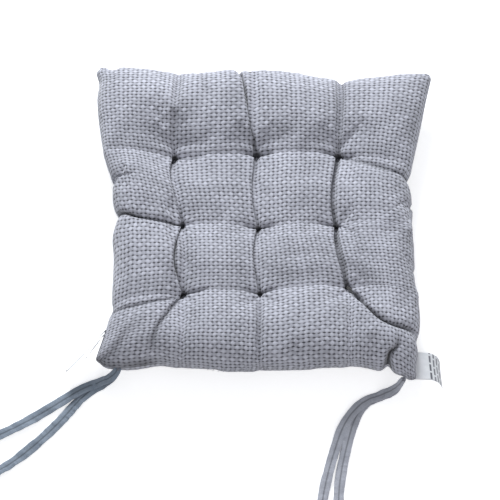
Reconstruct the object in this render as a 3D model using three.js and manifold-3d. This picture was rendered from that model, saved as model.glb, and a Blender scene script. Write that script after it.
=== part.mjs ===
// A square tufted seat pad for a kitchen or dining chair: two woven panels sewn edge to
// edge, stuffed with loose fibre and drawn together by nine stitches that go right
// through. Two tape ties leave the rear seam by each rear corner, and white labels are
// caught in the side seams. Millimetres, +X to the right, +Y from the tie edge to the
// front edge, +Z up; the origin is in the middle of the footprint.
import * as THREE from 'three';
import { mergeVertices } from 'three/addons/utils/BufferGeometryUtils.js';
import Module from 'manifold-3d';

const wasm = await Module();
wasm.setup();

// The stuffed pad
const padWidth = 384;          // left to right across the widest corners
const padDepth = 394;          // rear to front across the longest corners
const puffHeight = 34;         // crown of a puff above the seam
const restFlattening = 2;      // how far its weight flattens the lower puffs
const sideInset = 21;          // how far stuffing pulls in the middle of a side edge
const endInset = 9;            // the same at the front and rear edges
const valleyShare = 0.36;      // depth of the valley between two tufts, of the puff

// The tufts
const tuftPitchX = 89;
const tuftPitchY = 87;
const tuftShiftX = -7;         // the stitched grid sits a little left of the middle
const tuftShiftY = -5;         // and a little towards the rear
const tuftHalfThickness = 5;   // half of the pad's thickness under a stitch
const tuftBundleRadius = 1.1;  // several turns of strong thread
const tuftBarRadius = 0.7;
const tuftBarLength = 4.6;
const knotRadius = 1.9;

// Cloth, thread, tape and labels
const clothThickness = 1.6;
const seamThreadRadius = 0.4;
const closingSeamLength = 140; // hand-closed gap in the rear seam, where stuffing went in
const tapeWidth = 12;
const tapeThickness = 1.2;
const tieCornerDistance = 34;  // along the flat seam, from the corner to the tie
const tongueRadius = 2.6;      // a tie's end is gathered to a round tongue, where it is sewn
const tongueTaper = 4.5;       // from the tongue's middle to the tape's full width
const tackThickness = 1.2;     // strands of the stitch that holds a pair of ties
const tapeSteps = 36;          // spans along a tie
const stepGathering = 1.5;     // power by which they crowd towards its root
const labelThickness = 0.5;
const careLabelWidth = 34;
const sideLabelWidth = 24;

// Clearances
const clearance = 0.3;         // between pieces that touch on the real pad
const fillClearance = 0.8;     // between stuffing and cloth

// Derived sizes
const seamHeight = puffHeight - restFlattening;
const flatSide = 400;          // cut size of a panel, seam to seam
const rimWidth = clothThickness + 0.6;
const seamThreadInset = rimWidth + 2 * clearance + seamThreadRadius;
const fillInset = seamThreadInset + seamThreadRadius + 2 * fillClearance;
const fillRimHalf = 1;
const tiePivotOut = tackThickness + 2 * clearance + tongueRadius; // from the rim

// How far each corner falls short of the full width and depth: [across, along]
const cornerShort = {
  rearLeft: [0, 22], rearRight: [14, 0], frontLeft: [2, 0], frontRight: [0, 9],
};
// How far the seam hangs at a rear corner, below its level elsewhere
const rearLeftDrop = 12;
const rearRightDrop = 6;

// How far each tuft sits off the even grid, rows from rear to front, left to right
const tuftWander = [
  [[5, -1], [1, 0], [12, 7]],
  [[4, 2], [-1, -2], [1, 0]],
  [[-7, 0], [-2, 3], [4, 2]],
];

const colours = {
  cover: new THREE.MeshStandardMaterial({ color: 0xa3a2ad, roughness: 0.95, metalness: 0 }),
  underside: new THREE.MeshStandardMaterial({ color: 0x9a99a4, roughness: 0.95, metalness: 0 }),
  fibre: new THREE.MeshStandardMaterial({ color: 0xf2f1ec, roughness: 1, metalness: 0 }),
  thread: new THREE.MeshStandardMaterial({ color: 0x5c5c66, roughness: 0.7, metalness: 0 }),
  tape: new THREE.MeshStandardMaterial({ color: 0x6f7f91, roughness: 0.8, metalness: 0 }),
  label: new THREE.MeshStandardMaterial({ color: 0xf4f5f7, roughness: 0.5, metalness: 0 }),
};

const group = new THREE.Group();

function addNode(name, geometry, material) {
  const mesh = new THREE.Mesh(geometry, material);
  mesh.name = name;
  group.add(mesh);
}

// ---- Solids -----------------------------------------------------------------

// A geometry with only shared positions, so that it is one closed surface
function closed(geometry) {
  const bare = geometry.index ? geometry.clone() : geometry;
  bare.deleteAttribute('normal');
  bare.deleteAttribute('uv');
  return mergeVertices(bare, 1e-4);
}

function toSolid(geometry) {
  const shared = closed(geometry);
  return new wasm.Manifold(new wasm.Mesh({
    numProp: 3,
    vertProperties: new Float32Array(shared.attributes.position.array),
    triVerts: new Uint32Array(shared.index.array),
  }));
}

function toGeometry(solid) {
  const mesh = solid.getMesh();
  const geometry = new THREE.BufferGeometry();
  geometry.setAttribute('position', new THREE.BufferAttribute(mesh.vertProperties, 3));
  geometry.setIndex(new THREE.BufferAttribute(mesh.triVerts, 1));
  return geometry;
}

// A cylinder bent along a list of points, with one ring at each point
function threadThrough(points, radius, sides) {
  const spans = points.length - 1;
  const geometry = new THREE.CylinderGeometry(1, 1, 1, sides, spans);
  const position = geometry.attributes.position;
  const up = new THREE.Vector3(0, 0, 1);
  for (let k = 0; k < position.count; k++) {
    const at = Math.round((position.getY(k) + 0.5) * spans);
    const ahead = points[Math.min(at + 1, spans)];
    const behind = points[Math.max(at - 1, 0)];
    const along = ahead.clone().sub(behind).normalize();
    const across = along.clone().cross(up).normalize();
    const lift = across.clone().cross(along);
    const place = points[at].clone()
      .addScaledVector(across, position.getX(k) * radius)
      .addScaledVector(lift, position.getZ(k) * radius);
    position.setXYZ(k, place.x, place.y, place.z);
  }
  return closed(geometry);
}

// A flat leaf: its middle line runs through the points, its width lies along one direction
function leaf(points, widthDirection, width, thickness) {
  const curve = new THREE.CatmullRomCurve3(points);
  const steps = 2 * (points.length - 1);
  const geometry = new THREE.BoxGeometry(1, 1, 1, steps, 1, 1);
  const position = geometry.attributes.position;
  for (let k = 0; k < position.count; k++) {
    const t = position.getX(k) + 0.5;
    const face = curve.getTangent(t).cross(widthDirection).negate().normalize();
    const place = curve.getPoint(t)
      .addScaledVector(face, position.getY(k) * thickness)
      .addScaledVector(widthDirection, position.getZ(k) * width);
    position.setXYZ(k, place.x, place.y, place.z);
  }
  return closed(geometry);
}

// ---- The stuffed form -------------------------------------------------------

// Control net of the pad's plan: corners, edge points and tufts, rear row first
function planNet() {
  const halfX = padWidth / 2;
  const halfY = padDepth / 2;
  const { rearLeft, rearRight, frontLeft, frontRight } = cornerShort;
  const middle = tuftWander.map((row, j) => row.map(([dx, dy], i) => [
    (i - 1) * tuftPitchX + tuftShiftX + dx,
    (j - 1) * tuftPitchY + tuftShiftY + dy,
  ]));
  const end = (row, y) => row.map(([x]) => [x, y]);
  const side = (row) => [
    [sideInset - halfX, row[1][1]], ...row, [halfX - sideInset, row[1][1]],
  ];
  return [
    [[rearLeft[0] - halfX, rearLeft[1] - halfY], ...end(middle[0], endInset - halfY),
      [halfX - rearRight[0], rearRight[1] - halfY]],
    ...middle.map(side),
    [[frontLeft[0] - halfX, halfY - frontLeft[1]], ...end(middle[2], halfY - endInset),
      [halfX - frontRight[0], halfY - frontRight[1]]],
  ];
}

const netRows = planNet().map((row) => new THREE.SplineCurve(
  row.map(([x, y]) => new THREE.Vector2(x, y)),
));

// Plan position of a point of the cloth; u and v run from 0 to 1 across the flat panel
function plan(u, v) {
  const column = new THREE.SplineCurve(netRows.map((row) => row.getPoint(u)));
  return column.getPoint(v);
}

const puffs = 4;               // puffs each way: the tufts lie between them
const tuftFlat = 0.05;         // half of the flat spot under a tuft, of a puff
const innerLines = [tuftFlat, 0.2, 0.4, 0.6, 0.8, 1 - tuftFlat];
const outerLines = [0.13, 0.25, 0.4, 0.6, 0.8, 1 - tuftFlat];
const lastLines = outerLines.map((c) => 1 - c).reverse();
const clothLines = [
  0, ...[outerLines, innerLines, innerLines, lastLines].flatMap(
    (puffLines, puff) => puffLines.map((c) => (puff + c) / puffs),
  ), 1,
];
const clothCells = clothLines.length - 1;

// Rise of a puff's section: 0 at its border, 1 in its middle
function crown(c) {
  return Math.pow(Math.max(0, 1 - (1 - 2 * c) ** 2), 0.6);
}

// Along one way of the cloth: edge (0 at the seam, 1 inside), valley and tuft (1 on the line)
function sectionShares(t) {
  const puff = Math.min(puffs - 1, Math.floor(t * puffs));
  const c = t * puffs - puff;
  const bySeam = (puff === 0 && c < 0.5) || (puff === puffs - 1 && c > 0.5);
  if (bySeam) return { edge: crown(c), valley: 0, tuft: 0 };
  const inside = THREE.MathUtils.clamp((c - tuftFlat) / (1 - 2 * tuftFlat), 0, 1);
  return { edge: 1, valley: 1 - crown(c), tuft: 1 - crown(inside) };
}

// Height of the cloth over the seam level
function puffRise(u, v) {
  const a = sectionShares(u);
  const b = sectionShares(v);
  const valley = 1 - (1 - a.valley) * (1 - b.valley);
  const open = puffHeight * a.edge * b.edge * (1 - valleyShare * valley);
  return THREE.MathUtils.lerp(open, tuftHalfThickness, a.tuft * b.tuft);
}

// Height of the seam's level, which sinks towards the rear corners
function seamLevel(u, v) {
  const left = rearLeftDrop * Math.pow((1 - u) * (1 - v), 4);
  const right = rearRightDrop * Math.pow(u * (1 - v), 4);
  return seamHeight - left - right;
}

// Outside of the upper (side +1) or lower (side -1) panel; the lower one rests flat on z = 0
function clothPoint(u, v, side) {
  const place = plan(u, v);
  const z = seamLevel(u, v) + side * (clearance / 2 + puffRise(u, v));
  return new THREE.Vector3(place.x, place.y, Math.max(0, z));
}

function clothNormal(u, v, side) {
  const step = 0.004;
  const [u0, u1] = [Math.max(0, u - step), Math.min(1, u + step)];
  const [v0, v1] = [Math.max(0, v - step), Math.min(1, v + step)];
  const alongU = clothPoint(u1, v, side).sub(clothPoint(u0, v, side));
  const alongV = clothPoint(u, v1, side).sub(clothPoint(u, v0, side));
  return alongU.cross(alongV).normalize().multiplyScalar(side);
}

// A point `depth` under the outside of a panel; on the rim it steps in instead
function under(u, v, side, depth, rimInset, rimHeight) {
  const inward = [u, v].map((t) => (t === 0 ? 1 : 0) - (t === 1 ? 1 : 0));
  if (inward[0] || inward[1]) {
    const place = plan(u, v);
    return new THREE.Vector3(
      place.x + inward[0] * rimInset, place.y + inward[1] * rimInset,
      seamLevel(u, v) + side * rimHeight,
    );
  }
  return clothPoint(u, v, side).addScaledVector(clothNormal(u, v, side), -depth);
}

// Triangles of the cloth's grid; each quad's diagonal runs from a tuft towards a puff's crown
function gridTriangles(first, flip) {
  const triangles = [];
  const rising = (cell) => cell % 6 < 3 && cell < clothCells - 1;
  for (let j = 0; j < clothCells; j++) {
    for (let i = 0; i < clothCells; i++) {
      const a = first + j * clothLines.length + i;
      const [b, c, d] = [a + 1, a + clothLines.length + 1, a + clothLines.length];
      const pair = rising(i) === rising(j) ? [[a, b, c], [a, c, d]] : [[a, b, d], [b, c, d]];
      for (const [p, q, r] of pair) triangles.push(...(flip ? [p, r, q] : [p, q, r]));
    }
  }
  return triangles;
}

// A closed body between two surfaces of the cloth's two parameters
function bodyBetween(upper, lower) {
  const size = clothLines.length;
  const places = [upper, lower].flatMap((surface) => clothLines.flatMap(
    (v) => clothLines.flatMap((u) => surface(u, v).toArray()),
  ));
  const steps = Array.from({ length: clothCells }, (_, k) => k);
  const rim = [
    ...steps,
    ...steps.map((k) => k * size + clothCells),
    ...steps.map((k) => size * size - 1 - k),
    ...steps.map((k) => (clothCells - k) * size),
  ];
  const wall = rim.flatMap((a, k) => {
    const b = rim[(k + 1) % rim.length];
    return [a, a + size * size, b, b, a + size * size, b + size * size];
  });
  const geometry = new THREE.BufferGeometry();
  geometry.setAttribute('position', new THREE.Float32BufferAttribute(places, 3));
  geometry.setIndex([
    ...gridTriangles(0, false), ...gridTriangles(size * size, true), ...wall,
  ]);
  return toSolid(geometry);
}

const tufts = [1, 2, 3].flatMap((row) => [1, 2, 3].map((column) => ({
  name: `tuft_thread_${row}_${column}`,
  place: plan(column / puffs, row / puffs),
  level: seamLevel(column / puffs, row / puffs),
})));

// The needle's holes, as one solid to cut from cloth and stuffing
function needleHoles() {
  const tall = 4 * puffHeight;
  const holes = tufts.map(({ place, level }) => toSolid(
    new THREE.CylinderGeometry(
      tuftBundleRadius + clearance, tuftBundleRadius + clearance, tall, 8,
    ).rotateX(Math.PI / 2).translate(place.x, place.y, level),
  ));
  return holes.reduce((all, hole) => all.add(hole));
}

const holes = needleHoles();
const outside = (side) => (u, v) => clothPoint(u, v, side);
const inside = (side) => (u, v) => under(u, v, side, clothThickness, rimWidth, clearance / 2);
const stuffing = (side) => (u, v) => under(
  u, v, side, clothThickness + fillClearance, fillInset, fillRimHalf,
);

addNode('top_cover', toGeometry(
  bodyBetween(outside(1), inside(1)).subtract(holes),
), colours.cover);
addNode('bottom_cover', toGeometry(
  bodyBetween(inside(-1), outside(-1)).subtract(holes),
), colours.underside);
addNode('fibre_filling', toGeometry(
  bodyBetween(stuffing(1), stuffing(-1)).subtract(holes),
), colours.fibre);

// ---- Tuft stitches ----------------------------------------------------------

// One stitch: a bundle of thread through the pad, a short bar on top and a knot beneath
function tuftThread({ place, level }, turn) {
  const reach = tuftHalfThickness + clearance / 2 + clearance;
  const top = level + reach + tuftBarRadius;
  const bottom = level - reach - knotRadius;
  const bundle = new THREE.CylinderGeometry(
    tuftBundleRadius, tuftBundleRadius, top - bottom, 8,
  ).rotateX(Math.PI / 2).translate(0, 0, (top + bottom) / 2);
  const bar = new THREE.CapsuleGeometry(tuftBarRadius, tuftBarLength, 2, 8)
    .rotateZ(turn).translate(0, 0, top);
  const knot = new THREE.SphereGeometry(knotRadius, 8, 6).translate(0, 0, bottom);
  const stitch = toSolid(bundle).add(toSolid(bar)).add(toSolid(knot));
  return toGeometry(stitch).translate(place.x, place.y, 0);
}

const barTurns = [1.2, 1.5, 0.9, 1.7, 1.4, 1.6, 1.1, 1.8, 1.3];
tufts.forEach((tuft, k) => addNode(tuft.name, tuftThread(tuft, barTurns[k]), colours.thread));

// ---- Seam threads -----------------------------------------------------------

// A point of the stitch line, inside the rim, at a share of one edge
function seamPoint(u, v) {
  return under(u, v, 1, 0, seamThreadInset, 0);
}

const closingFrom = 0.5 - closingSeamLength / flatSide / 2;
const closingTo = 0.5 + closingSeamLength / flatSide / 2;
const seamBreak = (clearance + 2 * seamThreadRadius) / flatSide;

const closingStops = [
  closingFrom, ...clothLines.filter((u) => u > closingFrom && u < closingTo), closingTo,
];
const closingLine = closingStops.map((u) => seamPoint(u, 0));
const rightLines = clothLines.filter((u) => u > closingTo + seamBreak);
const leftLines = clothLines.filter((u) => u > 0 && u < closingFrom - seamBreak);
const edgeLine = [
  seamPoint(closingTo + seamBreak, 0),
  ...rightLines.map((u) => seamPoint(u, 0)),
  ...clothLines.slice(1).map((v) => seamPoint(1, v)),
  ...clothLines.slice(0, -1).reverse().map((u) => seamPoint(u, 1)),
  ...clothLines.slice(0, -1).reverse().map((v) => seamPoint(0, v)),
  ...leftLines.map((u) => seamPoint(u, 0)),
  seamPoint(closingFrom - seamBreak, 0),
];
addNode('closing_seam_thread', threadThrough(closingLine, seamThreadRadius, 6), colours.thread);
addNode('edge_seam_thread', threadThrough(edgeLine, seamThreadRadius, 6), colours.thread);

// ---- Ties -------------------------------------------------------------------

// A route whose tape keeps its width level, with its steps closer together near the root
class TapeRoute extends THREE.CatmullRomCurve3 {
  getUtoTmapping(share, distance) {
    return super.getUtoTmapping(share ** stepGathering, distance);
  }

  computeFrenetFrames(segments) {
    const up = new THREE.Vector3(0, 0, 1);
    const tangents = [];
    const normals = [];
    const binormals = [];
    for (let k = 0; k <= segments; k++) {
      const tangent = this.getTangentAt(k / segments);
      const binormal = tangent.clone().cross(up).normalize().negate();
      tangents.push(tangent);
      binormals.push(binormal);
      normals.push(binormal.clone().cross(tangent).normalize());
    }
    return { tangents, normals, binormals };
  }
}

// Section of the tape: thin along X, wide along Y, with its corners taken off
function tapeSection() {
  const [w, h, c] = [tapeWidth / 2, tapeThickness / 2, tapeThickness / 4];
  const outline = [
    [-h, c - w], [c - h, -w], [h - c, -w], [h, c - w],
    [h, w - c], [h - c, w], [c - h, w], [-h, w - c],
  ];
  return new THREE.Shape(outline.map(([x, y]) => new THREE.Vector2(x, y)));
}

// Each tie's route. It leaves the seam level, then drops: [along the seam, out from it,
// height as a share of the seam's level there]. On the surface it lies along points
// given from its root: [across, along, height]
const tieRoutes = {
  tie_left_front: {
    corner: -1, stack: 1,
    drop: [[-1, 11.5, 0.95], [-4.5, 15.2, 0.78], [-10, 17.3, 0.5], [-16, 17.5, 0.28]],
    lie: [
      [-24, -16.5, 2.9], [-31, -18.5, 2.6], [-40, -22, 2.6], [-51, -28.5, 2.6],
      [-64, -37, 2.6], [-80, -47, 2.6], [-98, -58, 2.6], [-118, -69, 2.6],
      [-139, -79, 2.6], [-160, -88, 2.6], [-181, -95, 2.6], [-194, -98, 2.6],
    ],
  },
  tie_left_rear: {
    corner: -1, stack: -1,
    drop: [[-0.5, 10, 0.8], [-3, 13, 0.53], [-7.5, 15, 0.27], [-13, 16, 0.1]],
    lie: [
      [-21, -17, 0.9], [-29, -20.5, 0.9], [-38, -28.5, 0.9], [-49, -41, 0.9],
      [-62, -57, 0.9], [-78, -74, 0.9], [-96, -91, 0.9], [-115, -107, 0.9],
      [-136, -121, 0.9], [-157, -132, 0.9], [-172, -138, 0.9],
    ],
  },
  tie_right_inner: {
    corner: 1, stack: 1,
    drop: [[-1, 11.5, 0.95], [-4.5, 15.2, 0.78], [-10, 17, 0.5], [-16, 17, 0.28]],
    lie: [
      [-24, -16, 2.9], [-33, -17, 2.6], [-43, -23, 2.6], [-52, -33, 2.6],
      [-60, -46, 2.6], [-66, -61, 2.6], [-71.5, -79, 2.6], [-77, -99, 2.6],
      [-82, -120, 2.6], [-86, -142, 2.6], [-88, -165, 2.6], [-88, -187, 2.6],
    ],
  },
  tie_right_outer: {
    corner: 1, stack: -1,
    drop: [[-0.5, 10, 0.8], [-3, 13, 0.53], [-8, 14.8, 0.27], [-14, 15.2, 0.09]],
    lie: [
      [-22, -15.5, 0.9], [-31, -19, 0.9], [-40, -26.5, 0.9], [-47, -37, 0.9],
      [-52, -50, 0.9], [-56, -65, 0.9], [-60, -83, 0.9], [-64, -103, 0.9],
      [-67, -125, 0.9], [-68, -148, 0.9], [-67, -171, 0.9], [-65, -190, 0.9],
    ],
  },
};

// Where a pair of ties leaves the rear seam: a point on the rim, and the seam's direction
function tieRoot(corner) {
  const share = (t) => (corner < 0 ? t : flatSide - t) / flatSide;
  const place = plan(share(tieCornerDistance), 0);
  const [from, to] = [-1, 1].map((s) => plan(share(tieCornerDistance - corner * s), 0));
  const along = to.sub(from).normalize();
  return {
    place, along, outward: new THREE.Vector2(along.y, -along.x),
    level: seamLevel(share(tieCornerDistance), 0),
  };
}

// Places a geometry made at a tie's root, with the seam along X and its outside towards -Y
function atRoot(geometry, { place, along, level }) {
  return geometry.rotateZ(Math.atan2(along.y, along.x)).translate(place.x, place.y, level);
}

// A geometry pulled up from an outline in plan, through both tapes of a pair
function upright(outline, height) {
  return new THREE.ExtrudeGeometry(outline, {
    depth: height, bevelEnabled: false, curveSegments: 6,
  }).translate(0, 0, -height / 2);
}

// What is cut from a tape so that its end is a round tongue with a hole for the stitch
function tongueCut(root) {
  const [r, w, far] = [tongueRadius, tapeWidth / 2 + clearance, -tiePivotOut - tongueTaper];
  const height = 2 * (tapeThickness + 2 * clearance);
  const cheeks = new THREE.Shape()
    .moveTo(-2 * w, 0).lineTo(-2 * w, far).lineTo(-w, far).lineTo(-r, -tiePivotOut)
    .absarc(0, -tiePivotOut, r, Math.PI, 0, true)
    .lineTo(w, far).lineTo(2 * w, far).lineTo(2 * w, 0).closePath();
  const hole = new THREE.Shape()
    .absarc(0, -tiePivotOut, tackThickness * Math.SQRT1_2 + clearance, 0, 2 * Math.PI);
  return toSolid(atRoot(upright(cheeks, height), root))
    .add(toSolid(atRoot(upright(hole, height), root)));
}

function tiePoints({ stack, drop, lie }, { place, along, outward, level }) {
  const lift = stack * (tapeThickness / 2 + clearance);
  const nearSeam = (a, out, z) => {
    const spot = place.clone().addScaledVector(along, a).addScaledVector(outward, out);
    return new THREE.Vector3(spot.x, spot.y, z);
  };
  return [
    nearSeam(0, tiePivotOut - tongueRadius, level + lift),
    nearSeam(0, tiePivotOut, level + lift),
    nearSeam(0, tiePivotOut + tongueRadius, level + lift),
    ...drop.map(([a, out, share]) => nearSeam(a, out, share * level)),
    ...lie.map(([x, y, z]) => new THREE.Vector3(place.x + x, place.y + y, z)),
  ];
}

function tie(route) {
  const root = tieRoot(route.corner);
  const tape = new THREE.ExtrudeGeometry(tapeSection(), {
    steps: tapeSteps, curveSegments: 1, bevelEnabled: false,
    extrudePath: new TapeRoute(tiePoints(route, root)),
  });
  return toGeometry(toSolid(tape).subtract(tongueCut(root)));
}

for (const [name, route] of Object.entries(tieRoutes)) {
  addNode(name, tie(route), colours.tape);
}

// ---- Labels -----------------------------------------------------------------

// The care label droops from the right seam; its width lies along the seam. Its section:
// [out from the seam, drop as a share of the seam's height]
const careDroop = [[0, 0], [9, 0.06], [16, 0.3], [20, 0.6], [21.5, 0.88]];

function careLabel() {
  const [near, far] = [plan(1, 0.012), plan(1, 0.012 + careLabelWidth / flatSide)];
  const along = new THREE.Vector3(far.x - near.x, far.y - near.y, 0).normalize();
  const middleX = (near.x + far.x) / 2 + clearance;
  const middleY = (near.y + far.y) / 2;
  const level = seamLevel(1, 0);
  const points = careDroop.map(([x, drop]) => new THREE.Vector3(
    middleX + x, middleY, level * (1 - drop),
  ));
  return leaf(points, along, careLabelWidth, labelThickness);
}

// The side labels stand on edge beside the rear left corner
const sideLabelLean = new THREE.Vector3(0, -0.36, 0.93).normalize();
const sideLabelRoot = 0.135;   // share of the side seam from the rear corner
const sideLabelRoutes = {
  side_label_long: { apart: 0, width: sideLabelWidth, run: [
    [0, 0, 1], [-9, -10, 0.86], [-20, -21, 0.7], [-31, -32, 0.58], [-42, -43, 0.53],
  ] },
  side_label_short: { apart: -5, width: sideLabelWidth, run: [
    [0, 0, 0.97], [-7, -9, 0.84], [-13.5, -17, 0.7], [-19, -24, 0.6],
  ] },
};

function sideLabel({ apart, width, run }) {
  const share = sideLabelRoot + apart / flatSide;
  const [root, level] = [plan(0, share), seamLevel(0, share)];
  const points = run.map(([x, y, rise]) => new THREE.Vector3(
    root.x - clearance - labelThickness + x, root.y + y, rise * level,
  ));
  return leaf(points, sideLabelLean, width, labelThickness);
}

addNode('care_label', careLabel(), colours.label);
for (const [name, route] of Object.entries(sideLabelRoutes)) {
  addNode(name, sideLabel(route), colours.label);
}

// ---- Bar tacks --------------------------------------------------------------

// Many turns of thread, drawn tight as one square loop: out of the seam, over the pair's
// two tapes, down through their tongues and back under them
function barTack(corner) {
  const [near, far] = [clearance, tiePivotOut + tackThickness / 2];
  const half = tapeThickness + 2 * clearance + tackThickness;
  const rectangle = (inset) => [
    [near + inset, inset - half], [far - inset, inset - half],
    [far - inset, half - inset], [near + inset, half - inset],
  ].map(([out, z]) => new THREE.Vector2(out, z));
  const loop = new THREE.Shape(rectangle(0));
  loop.holes.push(new THREE.Path(rectangle(tackThickness)));
  const solid = new THREE.ExtrudeGeometry(loop, { depth: tackThickness, bevelEnabled: false })
    .translate(0, 0, -tackThickness / 2)
    .rotateX(Math.PI / 2)
    .rotateZ(-Math.PI / 2);
  return closed(atRoot(solid, tieRoot(corner)));
}

addNode('bartack_left', barTack(-1), colours.thread);
addNode('bartack_right', barTack(1), colours.thread);

export default group;
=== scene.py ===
import math

import bpy
import numpy as np
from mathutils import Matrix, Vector


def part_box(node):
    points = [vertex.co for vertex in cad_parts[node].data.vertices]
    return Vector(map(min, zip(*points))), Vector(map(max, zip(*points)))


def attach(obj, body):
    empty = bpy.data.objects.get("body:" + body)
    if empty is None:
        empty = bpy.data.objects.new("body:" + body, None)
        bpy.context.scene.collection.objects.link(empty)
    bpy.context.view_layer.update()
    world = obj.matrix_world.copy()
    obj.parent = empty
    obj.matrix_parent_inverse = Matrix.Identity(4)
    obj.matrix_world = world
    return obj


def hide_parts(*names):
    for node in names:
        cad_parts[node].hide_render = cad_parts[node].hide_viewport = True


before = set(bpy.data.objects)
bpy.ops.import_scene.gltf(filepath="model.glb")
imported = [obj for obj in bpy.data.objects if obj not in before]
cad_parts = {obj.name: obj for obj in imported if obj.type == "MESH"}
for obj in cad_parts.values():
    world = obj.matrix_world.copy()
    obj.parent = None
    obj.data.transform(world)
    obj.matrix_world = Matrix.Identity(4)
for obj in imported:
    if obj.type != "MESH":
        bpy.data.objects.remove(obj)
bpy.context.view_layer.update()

# ---- Camera, floor and light --------------------------------------------------
# The pad lies on a pale floor with its ties towards the viewer. A long lens looks down
# on it, and a large soft window behind it lights the far side of every puff.
ELEVATION = math.radians(62.5)
DISTANCE = 6.0
FIELD = 2 * math.atan(0.5 / 875 * 500 / DISTANCE)
aim = Vector((-0.0166, -0.0180, 0))
camera_data = bpy.data.cameras.new("camera")
camera_data.angle = FIELD
camera_data.clip_end = 30
camera = bpy.data.objects.new("camera", camera_data)
camera.location = aim + DISTANCE * Vector((0, -math.cos(ELEVATION), math.sin(ELEVATION)))
camera.rotation_euler = (math.pi / 2 - ELEVATION, 0, 0)
bpy.context.scene.collection.objects.link(camera)
bpy.context.scene.camera = camera
bpy.context.scene.view_settings.view_transform = "Standard"

world = bpy.data.worlds.new("studio")
bpy.context.scene.world = world
world.use_nodes = True
world.node_tree.nodes["Background"].inputs["Color"].default_value = (0.9, 0.94, 1, 1)
world.node_tree.nodes["Background"].inputs["Strength"].default_value = 0.36


def soft_light(name, place, size, watts, colour):
    """A square area light at a place, turned towards the middle of the pad."""
    lamp = bpy.data.lights.new(name, "AREA")
    lamp.size, lamp.energy, lamp.color = size, watts, colour
    holder = bpy.data.objects.new(name, lamp)
    holder.location = place
    way = Vector((0, 0, 0.03)) - Vector(place)
    holder.rotation_euler = way.to_track_quat("-Z", "Y").to_euler()
    bpy.context.scene.collection.objects.link(holder)


soft_light("window", (-0.4, 2.1, 1.25), 0.9, 73, (0.93, 0.96, 1))
soft_light("room", (0.5, -1.7, 1.4), 1.6, 13, (0.97, 0.94, 0.95))

FLOOR_SIDE = 8
FLOOR_DROP = 0.0006            # under the lowest cloth
FLOOR_GLOW = 0.6               # for the camera only, which leaves a faint shadow


def feed(tree, node, inputs):
    """Sets a node's inputs, or links them where they are given another node's output."""
    for label, value in inputs.items():
        if isinstance(value, bpy.types.NodeSocket):
            tree.links.new(value, node.inputs[label])
        else:
            node.inputs[label].default_value = value


def node_output(tree, kind, output, inputs=None, **settings):
    """One output of a new shader node with its settings and inputs."""
    node = tree.nodes.new("ShaderNode" + kind)
    for label, value in settings.items():
        setattr(node, label, value)
    feed(tree, node, inputs or {})
    return node.outputs[output]


def new_finish(name):
    """A new material, its node tree and its shader."""
    material = bpy.data.materials.new(name)
    material.use_nodes = True
    return material, material.node_tree, material.node_tree.nodes["Principled BSDF"]


floor_mesh = bpy.data.meshes.new("floor")
corners = [(x * FLOOR_SIDE / 2, y * FLOOR_SIDE / 2, -FLOOR_DROP)
           for x, y in ((-1, -1), (1, -1), (1, 1), (-1, 1))]
floor_mesh.from_pydata(corners, [], [(0, 1, 2, 3)])
floor = bpy.data.objects.new("floor", floor_mesh)
bpy.context.scene.collection.objects.link(floor)
floor_paint, tree, shader = new_finish("floor_paint")
eye_ray = node_output(tree, "LightPath", "Is Camera Ray")
glow = node_output(tree, "Math", "Value", {0: eye_ray, 1: FLOOR_GLOW}, operation="MULTIPLY")
feed(tree, shader, {"Base Color": (0.9, 0.9, 0.9, 1), "Roughness": 0.9,
                    "Emission Color": (1, 1, 1, 1), "Emission Strength": glow})
floor_mesh.materials.append(floor_paint)

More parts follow.
